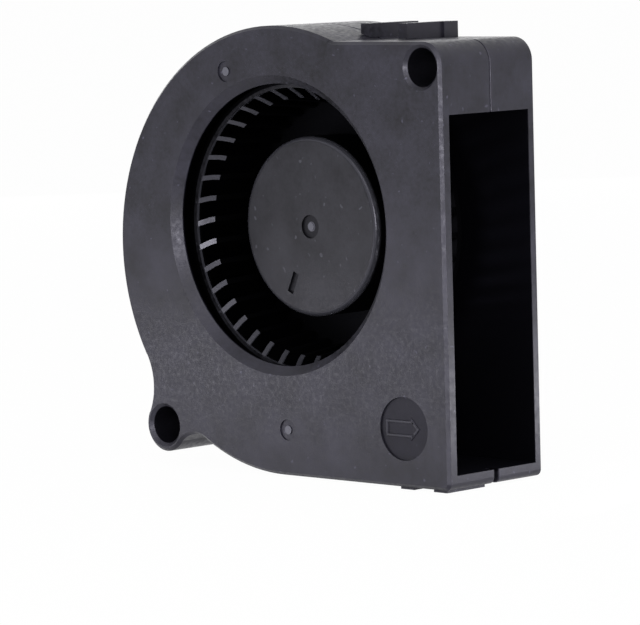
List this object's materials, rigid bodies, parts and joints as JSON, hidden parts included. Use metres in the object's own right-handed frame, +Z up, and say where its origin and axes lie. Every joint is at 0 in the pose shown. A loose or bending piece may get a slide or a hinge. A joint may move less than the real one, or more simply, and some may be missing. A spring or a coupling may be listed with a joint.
{
  "type": "dc blower fan",
  "caption": "Square-bodied centrifugal DC blower: round inlet in the front wall, bladed rotor on an internal motor, rectangular side outlet, two mounting ears.",
  "frame": {"origin": "where the rotor axis meets the rear mounting face", "axes": "+Y out of the rear face along the rotor axis, +X towards the outlet, +Z up; the inlet faces -Y"},
  "size_m": [0.051, 0.0157, 0.0513],
  "materials": {
    "housing_plastic": "matte moulded thermoplastic, fine spark texture",
    "impeller_plastic": "matte moulded thermoplastic",
    "yoke_steel": "drawn steel, zinc plated",
    "magnet": "rubber-bonded ferrite",
    "shaft_steel": "ground",
    "brass": "turned",
    "bearing_bronze": "sintered, oil filled",
    "white_plastic": "smooth natural nylon",
    "cap_plastic": "matte",
    "lamination": "stacked silicon steel",
    "winding": "enamelled copper wire",
    "board_green": "solder mask over glass epoxy",
    "chip_black": "moulded epoxy",
    "capacitor_tan": "fired ceramic chip",
    "tinned": "tinned copper"
  },
  "bodies": {
    "housing": {"housing_cover": "housing_plastic", "housing_base": "housing_plastic", "sleeve_bearing": "bearing_bronze", "bearing_tube": "brass", "thrust_disc": "white_plastic", "bearing_cap": "cap_plastic", "stator_core": "lamination", "upper_insulator": "white_plastic", "lower_insulator": "white_plastic", "coil_1": "winding", "coil_2": "winding", "coil_3": "winding", "coil_4": "winding", "terminal_pins": "tinned", "circuit_board": "board_green", "hall_sensor": "chip_black", "driver_chip": "chip_black", "capacitor": "capacitor_tan", "diode": "chip_black", "resistors": "chip_black", "lead_pads": "tinned"},
    "rotor": {"impeller": "impeller_plastic", "rotor_yoke": "yoke_steel", "magnet_ring": "magnet", "shaft": "shaft_steel", "shaft_boss": "brass", "oil_washer": "white_plastic", "retaining_ring": "white_plastic"}
  },
  "joints": [
    {"name": "rotor_spin", "type": "hinge", "parent": "housing", "child": "rotor", "pos_m": [0, 0, 0], "axis": [0, -1, 0], "continuous": true}
  ]
}
